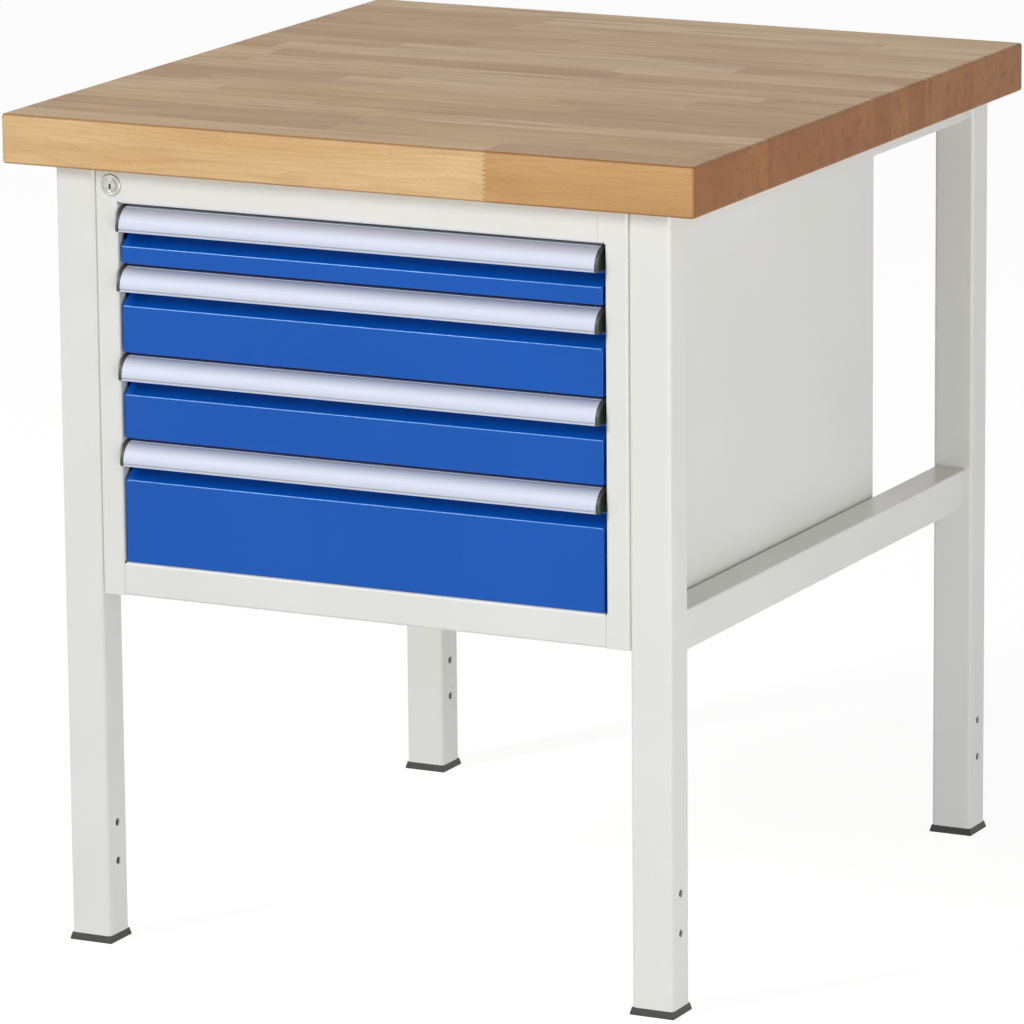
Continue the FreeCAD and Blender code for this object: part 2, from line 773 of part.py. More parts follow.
# Handles: full-width aluminium strips with a quarter-round grip and an open finger space
def make_handle(label, top):
    body = start_body(label)
    wall = s.handle_wall
    length = handle_width - s.cap_thickness * 2
    outline = [(nothing, nothing), (-handle_reach, nothing), (-handle_reach, -handle_drop),
               (wall - handle_reach, -handle_drop), (wall - handle_reach, -wall), (-wall, -wall),
               (-wall, -s.handle_plate_height), (nothing, -s.handle_plate_height)]
    pad(body, draw_outline(body, "YZ_Plane", outline), length)
    round_edges(body, edges_at(body, y=-handle_reach, z=nothing), s.handle_radius)
    round_edges(body, edges_at(body, y=wall - handle_reach, z=-wall), s.handle_radius - wall)
    lips = edges_at(body, y=-handle_reach, z=-handle_drop)
    lips += edges_at(body, y=wall - handle_reach, z=-handle_drop)
    round_edges(body, lips, s.handle_lip_radius)
    run = s.handle_radius * groove_run_share
    fall = s.handle_radius * groove_fall_share
    centres = [(-(grip_start + run), -fall), (-handle_reach, s.handle_groove_rise - handle_drop)]
    grooves = draw_circles(body, "YZ_Plane", centres, s.handle_groove_radius)
    pocket(body, grooves, length)
    place(body, opening_left + s.handle_side_gap + s.cap_thickness, web_place, top)
    keep(body, label)


# Handle caps: plastic plates that close both ends of a handle
def make_handle_caps(label, top):
    caps = []
    for x in (opening_left + s.handle_side_gap, opening_right - s.handle_side_gap - s.cap_thickness):
        body = start_body(label + "_plate")
        outline = [(nothing, nothing), (-handle_reach, nothing), (-handle_reach, -handle_drop),
                   (nothing, -handle_drop)]
        pad(body, draw_outline(body, "YZ_Plane", outline), s.cap_thickness)
        round_edges(body, edges_at(body, y=-handle_reach, z=nothing), s.handle_radius)
        round_edges(body, edges_at(body, y=-handle_reach, z=-handle_drop), s.cap_corner_radius)
        place(body, x, web_place, top)
        caps.append(body)
    group(label, caps)


# Trays: open sheet boxes between the runners, with an inward rim
def make_tray(label, height, bottom):
    body = start_body(label)
    sheet_metal = s.tray_sheet
    pad(body, draw_rectangle(body, "XY_Plane", nothing, nothing, tray_width, runner_length), height)
    names = []
    for corner_x in (nothing, tray_width):
        for corner_y in (nothing, runner_length):
            names += edges_at(body, x=corner_x, y=corner_y)
    round_edges(body, names, s.tray_corner_radius)
    inner = draw_rectangle(body, "XY_Plane", sheet_metal, sheet_metal, tray_width - sheet_metal,
                           runner_length - sheet_metal, sheet_metal)
    pocket(body, inner, height - sheet_metal * 2)
    mouth = draw_rectangle(body, "XY_Plane", s.tray_rim, s.tray_rim, tray_width - s.tray_rim,
                           runner_length - s.tray_rim, height - sheet_metal * 2)
    pocket(body, mouth, sheet_metal * 3)
    place(body, opening_left + s.runner_thickness, tray_front, bottom)
    keep(body, label)


def make_drawers():
    row_bottom = opening_top
    for number, row_height in enumerate(row_heights, start=1):
        row_bottom = row_bottom - row_height
        name = "drawer_%d_" % number
        front_height = row_height - s.row_gap
        tray_bottom = row_bottom + s.tray_lift
        level = tray_bottom + s.runner_lift
        make_drawer_front(name + "front", front_height, row_bottom)
        make_handle(name + "handle", row_bottom + front_height)
        make_handle_caps(name + "handle_caps", row_bottom + front_height)
        make_tray(name + "tray", row_height - s.tray_headroom, tray_bottom)
        make_runners(name + "cabinet_runners", "cabinet", level)
        make_runners(name + "middle_runners", "middle", level)
        make_runners(name + "tray_runners", "tray", level)


# Lock: housing with a ring, a turning core with a keyway, a nut, a cam and the bar that it drives
def make_lock():
    ring_front = frame_front - s.lock_ring_height
    through = s.lock_ring_height + s.lock_barrel_length
    ring = add_cylinder(back, lock_x, ring_front, lock_z, s.lock_ring_radius, s.lock_ring_height)
    barrel = add_cylinder(back, lock_x, frame_front, lock_z, s.lock_barrel_radius, s.lock_barrel_length)
    bore_radius = s.lock_core_radius + s.lock_running_clearance
    bore = add_cylinder(back, lock_x, ring_front - s.overrun, lock_z, bore_radius, through + s.overrun * 2)
    groove_inner = add_cylinder(back, lock_x, ring_front, lock_z, s.lock_barrel_radius, s.lock_ring_edge)
    groove_outer = add_cylinder(back, lock_x, ring_front, lock_z,
                                s.lock_barrel_radius + s.lock_ring_edge, s.lock_ring_edge)
    groove = cut(groove_outer, groove_inner)
    housing = cut(cut(join([ring, barrel]), bore), groove)
    keep(housing, "lock_housing")

    core_front = ring_front - s.lock_core_rise
    core = add_cylinder(back, lock_x, core_front, lock_z, s.lock_core_radius,
                        frame_front + core_end - core_front)
    keyway = add_box(lock_x - s.keyway_width / 2, core_front, lock_z - s.keyway_height / 2,
                     s.keyway_width, s.keyway_depth, s.keyway_height)
    keep(cut(core, keyway), "lock_core")

    nut_bore = s.lock_barrel_radius + s.lock_running_clearance
    nut_front = frame_front + s.cabinet_sheet
    nut_disc = doc.addObject("Part::Prism", "nut_disc")
    nut_disc.Placement.Rotation = FreeCAD.Rotation(FreeCAD.Vector(0, 0, 1), FreeCAD.Vector(*back))
    nut_disc.setExpression("Circumradius", s.lock_nut_radius.text)
    nut_disc.setExpression("Height", s.lock_nut_height.text)
    place(nut_disc, lock_x, nut_front, lock_z)
    nut_hole = add_cylinder(back, lock_x, nut_front - s.overrun, lock_z, nut_bore,
                            s.lock_nut_height + s.overrun * 2)
    keep(cut(nut_disc, nut_hole), "lock_nut")

    cam_front = frame_front + core_end
    boss = add_cylinder(back, lock_x, cam_front, lock_z, s.cam_boss_radius, s.cam_thickness)
    finger = add_box(lock_x, cam_front, lock_z - s.cam_finger_width / 2,
                     s.cam_reach, s.cam_thickness, s.cam_finger_width)
    keep(join([boss, finger]), "lock_cam")


# Locking bar: a flat bar beside the drawers, with a lug for the cam and a hook for each drawer
def make_lock_bar():
    strip = add_box(bar_left, bar_front, bar_bottom, s.bar_width, s.bar_thickness, bar_top - bar_bottom)
    lug_front = frame_front + core_end - s.cam_thickness / 2
    lug = add_box(bar_left, lug_front, bar_top - s.bar_thickness, s.bar_width,
                  bar_front - lug_front + s.bar_thickness, s.bar_thickness)
    pieces = [strip, lug]
    row_top = opening_top
    for row_height in row_heights:
        hook_top = row_top - row_height + s.tray_lift + s.runner_lift + s.hook_fall
        pieces.append(add_box(bar_left + s.bar_width, bar_front, hook_top - s.hook_height,
                              s.hook_length, s.bar_thickness, s.hook_height))
        row_top = row_top - row_height
    bar = join(pieces)
    slot_width = (s.stud_radius + s.bar_play) * 2
    for z in stud_heights():
        slot = add_box(bar_left + s.bar_width / 2 - slot_width / 2, bar_front - s.overrun,
                       z - s.stud_radius - s.bar_play, slot_width, s.bar_thickness + s.overrun * 2,
                       slot_width + s.bar_travel)
        bar = cut(bar, slot)
    keep(bar, "lock_bar")


def stud_heights():
    return [bar_bottom + s.stud_margin, bar_top - s.stud_margin]


def make_lock_bar_studs():
    studs = []
    head_back = bar_front - s.bar_play
    for z in stud_heights():
        shank = add_cylinder(back, bar_left + s.bar_width / 2, head_back, z,
                             s.stud_radius, post_front - head_back)
        head = add_cylinder(back, bar_left + s.bar_width / 2, head_back - s.stud_head_height, z,
                            s.stud_head_radius, s.stud_head_height)
        studs.append(join([head, shank]))
    group("lock_bar_studs", studs)


# The whole bench
make_worktop()
for side_name, leg_x, bolts_on in (("left", frame_left, 1), ("right", frame_right - s.leg_width, -1)):
    for end_name, leg_y in (("front", frame_front), ("rear", rear_leg_front)):
        make_leg("%s_%s_leg" % (end_name, side_name), leg_x, leg_y, bolts_on if end_name == "front" else 0)
        make_foot("%s_%s_foot" % (end_name, side_name), leg_x, leg_y)
lower_rail_level = cabinet_bottom - s.lower_rail_drop
upper_rail_level = underside - s.upper_rail_height
for side_name, rail_x in (("left", left_rail_x), ("right", right_rail_x)):
    make_side_rail(side_name + "_lower_rail", rail_x, lower_rail_level, s.lower_rail_height)
    make_side_rail(side_name + "_upper_rail", rail_x, upper_rail_level, s.upper_rail_height, side_screw_runs)
make_rear_cross_rail()
make_worktop_screws()
make_cabinet_side("cabinet_left_side", 1)
make_cabinet_side("cabinet_right_side", -1)
make_front_rail("front_top_rail", upper=True)
make_front_rail("front_bottom_rail", upper=False)
make_cabinet_floor()
make_cabinet_back()
make_cabinet_roof()
make_runner_posts("left_runner_posts", 1)
make_runner_posts("right_runner_posts", -1)
make_cabinet_bolts()
make_drawers()
make_lock()
make_lock_bar()
make_lock_bar_studs()
doc.recompute()

# Every feature is checked before anything is written
for item in doc.Objects:
    if "Invalid" in item.State or "Error" in item.State:
        raise RuntimeError("%s (%s) did not compute" % (item.Name, item.Label))
    if item.TypeId == "PartDesign::Pocket" and item.Shape.Volume >= item.BaseFeature.Shape.Volume:
        raise RuntimeError("%s cut nothing" % item.Name)
for piece in parts:
    if piece.Shape.isNull() or not piece.Shape.isValid():
        raise RuntimeError("%s has no valid shape" % piece.Label)

os.makedirs("parts", exist_ok=True)
for piece in parts:
    piece.Shape.exportStep("parts/%s.step" % piece.Label)
print("%d nodes written" % len(parts))
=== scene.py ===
import json
import math
import bmesh
import bpy
import numpy as np
from mathutils import Matrix, Vector

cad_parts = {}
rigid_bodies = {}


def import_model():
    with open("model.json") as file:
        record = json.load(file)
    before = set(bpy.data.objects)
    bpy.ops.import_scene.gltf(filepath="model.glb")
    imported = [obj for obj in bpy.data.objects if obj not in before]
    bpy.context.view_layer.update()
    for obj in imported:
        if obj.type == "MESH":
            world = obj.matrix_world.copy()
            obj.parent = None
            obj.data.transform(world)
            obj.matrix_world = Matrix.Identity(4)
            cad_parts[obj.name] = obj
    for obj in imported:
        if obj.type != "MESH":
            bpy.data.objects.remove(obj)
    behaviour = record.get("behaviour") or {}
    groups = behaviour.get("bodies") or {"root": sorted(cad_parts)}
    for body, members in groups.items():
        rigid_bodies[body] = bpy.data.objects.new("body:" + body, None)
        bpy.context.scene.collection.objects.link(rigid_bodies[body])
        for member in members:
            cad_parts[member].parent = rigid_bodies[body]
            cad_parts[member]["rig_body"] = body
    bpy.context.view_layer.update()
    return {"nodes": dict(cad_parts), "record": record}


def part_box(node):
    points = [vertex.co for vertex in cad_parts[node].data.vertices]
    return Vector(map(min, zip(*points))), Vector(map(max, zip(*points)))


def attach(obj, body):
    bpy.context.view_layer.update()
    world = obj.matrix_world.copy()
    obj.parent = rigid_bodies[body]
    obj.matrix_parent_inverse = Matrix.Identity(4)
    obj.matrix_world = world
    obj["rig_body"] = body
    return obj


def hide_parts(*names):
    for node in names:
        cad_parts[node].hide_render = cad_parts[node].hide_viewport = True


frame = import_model()
nodes = frame["nodes"]
slotOf = {part["node"]: part["material_slot"] for part in frame["record"]["subparts"]}
drawerNumbers = (1, 2, 3, 4)
print("frame loaded:", len(nodes), "nodes")


# Small helpers for colours and shader nodes

def hexColour(code):
    # an sRGB hex value turned to linear light
    channels = [int(code[start:start + 2], 16) / 255 for start in (1, 3, 5)]
    return tuple(c / 12.92 if c <= 0.04045 else ((c + 0.055) / 1.055) ** 2.4 for c in channels) + (1.0,)


def addNode(tree, kind, settings=None, links=None):
    # a setting is a property or the value of an input; a link is the node or socket that feeds an input
    node = tree.nodes.new(kind)
    for key, value in (settings or {}).items():
        if isinstance(key, str) and hasattr(node, key):
            setattr(node, key, value)
        else:
            node.inputs[key].default_value = value
    for key, source in (links or {}).items():
        tree.links.new(getattr(source, "outputs", [source])[0], node.inputs[key])
    return node


def newMaterial(name):
    # a shader with its output, and the object's own coordinates in millimetres
    material = bpy.data.materials.new(name)
    material.use_nodes = True
    tree = material.node_tree
    tree.nodes.clear()
    shader = addNode(tree, "ShaderNodeBsdfPrincipled")
    addNode(tree, "ShaderNodeOutputMaterial", None, {"Surface": shader})
    place = addNode(tree, "ShaderNodeTexCoord").outputs["Object"]
    millimetres = addNode(tree, "ShaderNodeVectorMath", {"operation": "SCALE", "Scale": 1000.0},
                          {0: place})
    return material, tree, shader, millimetres


def mixTwoTones(tree, shader, values, share):
    # the surface drifts between its two tones, and its roughness between two values, with one pattern
    tone = addNode(tree, "ShaderNodeMix", {"data_type": "RGBA", 6: hexColour(values["colour"]),
                                           7: hexColour(values["deepColour"])}, {0: share})
    middle, drift = values["roughness"], values["roughnessDrift"]
    roughness = addNode(tree, "ShaderNodeMapRange", {3: middle - drift, 4: middle + drift}, {0: share})
    tree.links.new(tone.outputs[2], shader.inputs["Base Color"])
    tree.links.new(roughness.outputs[0], shader.inputs["Roughness"])


# Powder coat: polyester powder, sprayed on and baked, so it is one even satin colour
# with soft edges and the faint ripple of orange peel

powder = {                      # what both coats share, in millimetres
    "cloudSize": 140.0,         # the tone drifts over this distance
    "cloudRange": (0.35, 0.65),
    "peelSize": 2.5,
    "peelHeight": 0.1,
    "roughnessDrift": 0.015,
    "ior": 1.5,
}


def powderCoat(name, values):
    material, tree, shader, millimetres = newMaterial(name)
    cloud = addNode(tree, "ShaderNodeTexNoise", {"Scale": 1 / values["cloudSize"], "Detail": 3.0},
                    {"Vector": millimetres})
    low, high = values["cloudRange"]
    share = addNode(tree, "ShaderNodeMapRange", {1: low, 2: high}, {0: cloud})
    mixTwoTones(tree, shader, values, share)
    ripple = addNode(tree, "ShaderNodeTexNoise", {"Scale": 1 / values["peelSize"], "Detail": 1.0},
                     {"Vector": millimetres})
    peel = addNode(tree, "ShaderNodeBump", {"Strength": values["peelStrength"],
                                            "Distance": values["peelHeight"] / 1000},
                   {"Height": ripple})
    tree.links.new(peel.outputs[0], shader.inputs["Normal"])
    shader.inputs["IOR"].default_value = values["ior"]
    shader.inputs["Specular IOR Level"].default_value = values["gloss"]
    shader.inputs["Specular Tint"].default_value = hexColour(values["glossTint"])
    return material


greyCoat = powderCoat("light_grey_polyester_powder_coat", {
    **powder, "colour": "#E5E5E2", "deepColour": "#E2E3DE", "roughness": 0.31,
    "peelStrength": 0.2, "gloss": 0.5, "glossTint": "#FFFFFF"})
blueCoat = powderCoat("gentian_blue_polyester_powder_coat", {
    **powder, "colour": "#0150B4", "deepColour": "#014DAE", "roughness": 0.2,
    "peelStrength": 0.08, "gloss": 0.6,
    "glossTint": "#AADBFF"})    # the clear resin over the blue pigment shines blue


# Anodised aluminium: extruded, which draws fine lines along X, then etched matt and
# anodised, so its highlights are broad and silky

def anodisedAluminium(name, values):
    material, tree, shader, millimetres = newMaterial(name)
    across = 1 / values["lineWidth"]
    drawn = addNode(tree, "ShaderNodeVectorMath",
                    {"operation": "MULTIPLY", 1: (1 / values["lineLength"], across, across)},
                    {0: millimetres})
    lines = addNode(tree, "ShaderNodeTexNoise", {"Scale": 1.0, "Detail": 2.0}, {"Vector": drawn})
    mixTwoTones(tree, shader, values, lines)
    scratches = addNode(tree, "ShaderNodeBump", {"Strength": values["lineStrength"],
                                                 "Distance": values["lineHeight"] / 1000},
                        {"Height": lines})
    tree.links.new(scratches.outputs[0], shader.inputs["Normal"])
    shader.inputs["Metallic"].default_value = 1.0
    return material


aluminium = anodisedAluminium("anodised_aluminium", {
    "colour": "#C5C9D4", "deepColour": "#BCC1CC", "roughness": 0.69, "roughnessDrift": 0.03,
    "lineLength": 60.0,
    "lineWidth": 0.7,       # coarser than real drawing lines, so that they show
    "lineHeight": 0.05, "lineStrength": 0.12,
})


# Moulded plastic: injected into a spark-eroded mould, which leaves a fine matt grain

moulding = {"grainHeight": 0.1, "grainStrength": 0.3, "roughnessDrift": 0.05}


def mouldedPlastic(name, values):
    material, tree, shader, millimetres = newMaterial(name)
    grain = addNode(tree, "ShaderNodeTexNoise", {"Scale": 1 / values["grainSize"], "Detail": 2.0},
                    {"Vector": millimetres})
    mixTwoTones(tree, shader, values, grain)
    pits = addNode(tree, "ShaderNodeBump", {"Strength": values["grainStrength"],
                                            "Distance": values["grainHeight"] / 1000},
                   {"Height": grain})
    tree.links.new(pits.outputs[0], shader.inputs["Normal"])
    shader.inputs["IOR"].default_value = values["ior"]
    return material


capNylon = mouldedPlastic("moulded_nylon", {
    **moulding, "colour": "#3C423A", "deepColour": "#2A2F28", "roughness": 0.42, "grainSize": 0.8,
    "ior": 1.53})
footPolyethylene = mouldedPlastic("moulded_polyethylene", {
    **moulding, "colour": "#3B3B35", "deepColour": "#2B2B26", "roughness": 0.5, "grainSize": 1.0,
    "ior": 1.51})


# Plated steel: nickel on the lock, brushed to a satin, and zinc on the runners and screws, with its
# grey bloom

def platedSteel(name, values):
    material, tree, shader, millimetres = newMaterial(name)
    bloom = addNode(tree, "ShaderNodeTexNoise", {"Scale": 1 / values["bloomSize"], "Detail": 3.0},
                    {"Vector": millimetres})
    low, high = values["bloomRange"]
    share = addNode(tree, "ShaderNodeMapRange", {1: low, 2: high}, {0: bloom})
    mixTwoTones(tree, shader, values, share)
    shader.inputs["Metallic"].default_value = 1.0
    return material


nickel = platedSteel("satin_nickel_plate", {
    "colour": "#CDCEC6", "deepColour": "#BEBFB6", "roughness": 0.36, "roughnessDrift": 0.04,
    "bloomSize": 3.0, "bloomRange": (0.3, 0.7)})
zinc = platedSteel("bright_zinc_plate", {
    "colour": "#C9CDD1", "deepColour": "#B3B8BE", "roughness": 0.37, "roughnessDrift": 0.06,
    "bloomSize": 12.0, "bloomRange": (0.3, 0.7)})


# Oiled beech: sawn staves, finger-jointed end to end, glued side by side and sanded, then oiled.
# Every length keeps its own tone, its rings show as fine lines and its pores as short dashes.

beech = {
    "halfDepth": 400.0,       # the slab's front face lies this far before its middle
    "staveWidth": 42.0,       # across the slab, in Y
    "staveLength": 390.0,     # between two joints, in X
    "jointDraw": 0.37,        # another value moves every joint but the front one
    "frontJoint": 157.0,      # where the front stave is joined
    "frontLength": 620.0,
    "frontTone": 0.93,        # of the front length to the right of the joint, from pale to brown
    "frontPaler": 0.68,       # by which the length to its left is paler
    "endCalm": 0.5,           # by which the cut ends' tones differ less
    "frontCalm": 0.6,         # by which the front stave's streaks and drift are weaker
    "fingerPitch": 4.6,       # teeth of the finger joints, seen on the front and back faces
    "fingerDepth": 5.0,
    "middleHeight": 816.0,    # about half-way up the slab
    "heartNear": 60.0,        # the log's heart lies to one side of the stave, so rings stand upright
    "heartFar": 150.0,
    "ringPitch": 3.4,
    "ringPower": 2.5,         # the higher, the finer the dark line that ends a ring
    "ringDrift": 5.0,         # rings that the log's bends shift along a stave
    "wanderLength": 230.0,    # the log's bends
    "wanderWidth": 50.0,
    "fibreLength": 70.0,
    "fibreWidth": 1.1,        # coarser than real fibres, so that they show
    "fibreRange": (0.35, 0.75),
    "fibreHeight": 0.1,
    "fibreStrength": 0.2,
    "poreLength": 4.0,
    "poreWidth": 0.6,         # coarser than real pores too
    "poreRange": (0.66, 0.76),
    "streakLength": 170.0,    # darker bands that run along the fibres
    "streakWidth": 13.0,
    "streakRange": (0.5, 0.74),
    "patternReach": 37.0,     # how far apart two lengths' patterns are drawn, in grains
    "patternDetail": 0.6,     # the share of the finer grains
    "paleColour": "#E9C898",
    "warmColour": "#D7AF79",
    "brownColour": "#BF905A",
    "lateColour": "#AB7D4D",
    "poreColour": "#8C5A2E",
    "endAndEdgeTint": "#BF9B78",
    "toneSpread": 0.85,       # how much the lengths differ
    "toneDrift": 1.7,         # how much one length's tone drifts along it
    "toneStart": -0.75,       # added to the drift, which then runs about 0
    "ringShare": 0.2,
    "fibreShare": 0.3,
    "streakShare": 0.85,
    "poreShare": 0.3,
    "endRange": (0.5, 0.9),   # of the normal's part along X, from the sides to a cut end
    "edgeRange": (0.99, 0.85),    # of the normal's largest part, from a flat face to an eased edge
    "edgeShare": 0.7,
    "roughness": 0.42,
    "ior": 1.45,
    "gloss": 0.25,            # the oil soaks in, so little of it shines
}


def staveNumbers(tree, axes, values):
    # stave number across the slab and length number along it; the joints' teeth zigzag with the height;
    # every length draws random numbers and a tone, and the front stave is less lively than the others
    x, y, z = axes.outputs
    across = addNode(tree, "ShaderNodeMath", {"operation": "ADD", 1: values["halfDepth"]}, {0: y})
    across = addNode(tree, "ShaderNodeMath", {"operation": "DIVIDE", 1: values["staveWidth"]},
                     {0: across})
    stave = addNode(tree, "ShaderNodeMath", {"operation": "FLOOR"}, {0: across})
    draw = addNode(tree, "ShaderNodeMath", {"operation": "ADD", 1: values["jointDraw"]}, {0: stave})
    chance = addNode(tree, "ShaderNodeTexWhiteNoise", {"noise_dimensions": "1D"}, {"W": draw})
    # the front stave is number 0, or -1 where rounding puts the slab's face just outside it
    isFront = addNode(tree, "ShaderNodeMath", {"operation": "LESS_THAN", 1: 0.5}, {0: stave})
    joint = addNode(tree, "ShaderNodeMath", {"operation": "MULTIPLY", 1: values["staveLength"]},
                    {0: chance})
    joint = addNode(tree, "ShaderNodeMix", {"data_type": "FLOAT", 3: values["frontJoint"]},
                    {0: isFront, 2: joint})
    length = addNode(tree, "ShaderNodeMix", {"data_type": "FLOAT", 2: values["staveLength"],
                                             3: values["frontLength"]}, {0: isFront})
    teeth = addNode(tree, "ShaderNodeMath", {"operation": "DIVIDE", 1: values["fingerPitch"]}, {0: z})
    teeth = addNode(tree, "ShaderNodeMath", {"operation": "PINGPONG", 1: 0.5}, {0: teeth})
    along = addNode(tree, "ShaderNodeMath", {"operation": "MULTIPLY_ADD", 1: values["fingerDepth"] * 2},
                    {0: teeth, 2: x})
    along = addNode(tree, "ShaderNodeMath", {"operation": "SUBTRACT"}, {0: along, 1: joint})
    along = addNode(tree, "ShaderNodeMath", {"operation": "DIVIDE"}, {0: along, 1: length})
    run = addNode(tree, "ShaderNodeMath", {"operation": "FLOOR"}, {0: along})
    place = addNode(tree, "ShaderNodeCombineXYZ", None, {0: stave, 1: run})
    random = addNode(tree, "ShaderNodeTexWhiteNoise", {"noise_dimensions": "3D"}, {"Vector": place})
    tone = addNode(tree, "ShaderNodeSeparateXYZ", None, {0: random.outputs["Color"]}).outputs[2]
    frontTone = addNode(tree, "ShaderNodeMath", {"operation": "MULTIPLY_ADD", 1: values["frontPaler"],
                                                 2: values["frontTone"]}, {0: run})
    tone = addNode(tree, "ShaderNodeMix", {"data_type": "FLOAT"}, {0: isFront, 2: tone, 3: frontTone})
    lively = addNode(tree, "ShaderNodeMath", {"operation": "MULTIPLY_ADD", 1: -values["frontCalm"],
                                              2: 1.0}, {0: isFront})
    return stave, random, tone, lively


def ringPattern(tree, axes, stave, random, wander, values):
    # rings are circles about the log's heart: distance / pitch, shifted by the wander, and its fraction
    # raised to a power, so that a ring darkens slowly and ends at once
    chance = addNode(tree, "ShaderNodeSeparateXYZ", None, {0: random.outputs["Color"]})
    reach = values["heartFar"] - values["heartNear"]
    heartY = addNode(tree, "ShaderNodeMath", {"operation": "MULTIPLY_ADD", 1: reach,
                                              2: values["heartNear"]}, {0: chance.outputs[0]})
    staveY = addNode(tree, "ShaderNodeMath", {"operation": "MULTIPLY_ADD", 1: values["staveWidth"],
                                              2: -values["halfDepth"]}, {0: stave})
    offY = addNode(tree, "ShaderNodeMath", {"operation": "SUBTRACT"}, {0: axes.outputs[1], 1: staveY})
    offY = addNode(tree, "ShaderNodeMath", {"operation": "ADD"}, {0: offY, 1: heartY})
    heartZ = addNode(tree, "ShaderNodeMath",
                     {"operation": "MULTIPLY_ADD", 1: reach, 2: values["middleHeight"] - reach / 2},
                     {0: chance.outputs[1]})
    offZ = addNode(tree, "ShaderNodeMath", {"operation": "SUBTRACT"}, {0: axes.outputs[2], 1: heartZ})
    off = addNode(tree, "ShaderNodeCombineXYZ", None, {0: offY, 1: offZ})
    distance = addNode(tree, "ShaderNodeVectorMath", {"operation": "LENGTH"}, {0: off})
    rings = addNode(tree, "ShaderNodeMath", {"operation": "DIVIDE", 1: values["ringPitch"]},
                    {0: distance.outputs["Value"]})
    rings = addNode(tree, "ShaderNodeMath", {"operation": "MULTIPLY_ADD", 1: values["ringDrift"]},
                    {0: wander, 2: rings})
    share = addNode(tree, "ShaderNodeMath", {"operation": "FRACT"}, {0: rings})
    return addNode(tree, "ShaderNodeMath", {"operation": "POWER", 1: values["ringPower"]}, {0: share})


def drawnNoise(tree, millimetres, kind, shift, detail, values):
    # noise stretched along the fibres, in grains as long and as wide as the kind's two values say
    along, across = 1 / values[kind + "Length"], 1 / values[kind + "Width"]
    space = addNode(tree, "ShaderNodeVectorMath",
                    {"operation": "MULTIPLY_ADD", 1: (along, across, across)}, {0: millimetres, 2: shift})
    return addNode(tree, "ShaderNodeTexNoise", {"Scale": 1.0, "Detail": detail,
                                                "Roughness": values["patternDetail"]}, {"Vector": space})


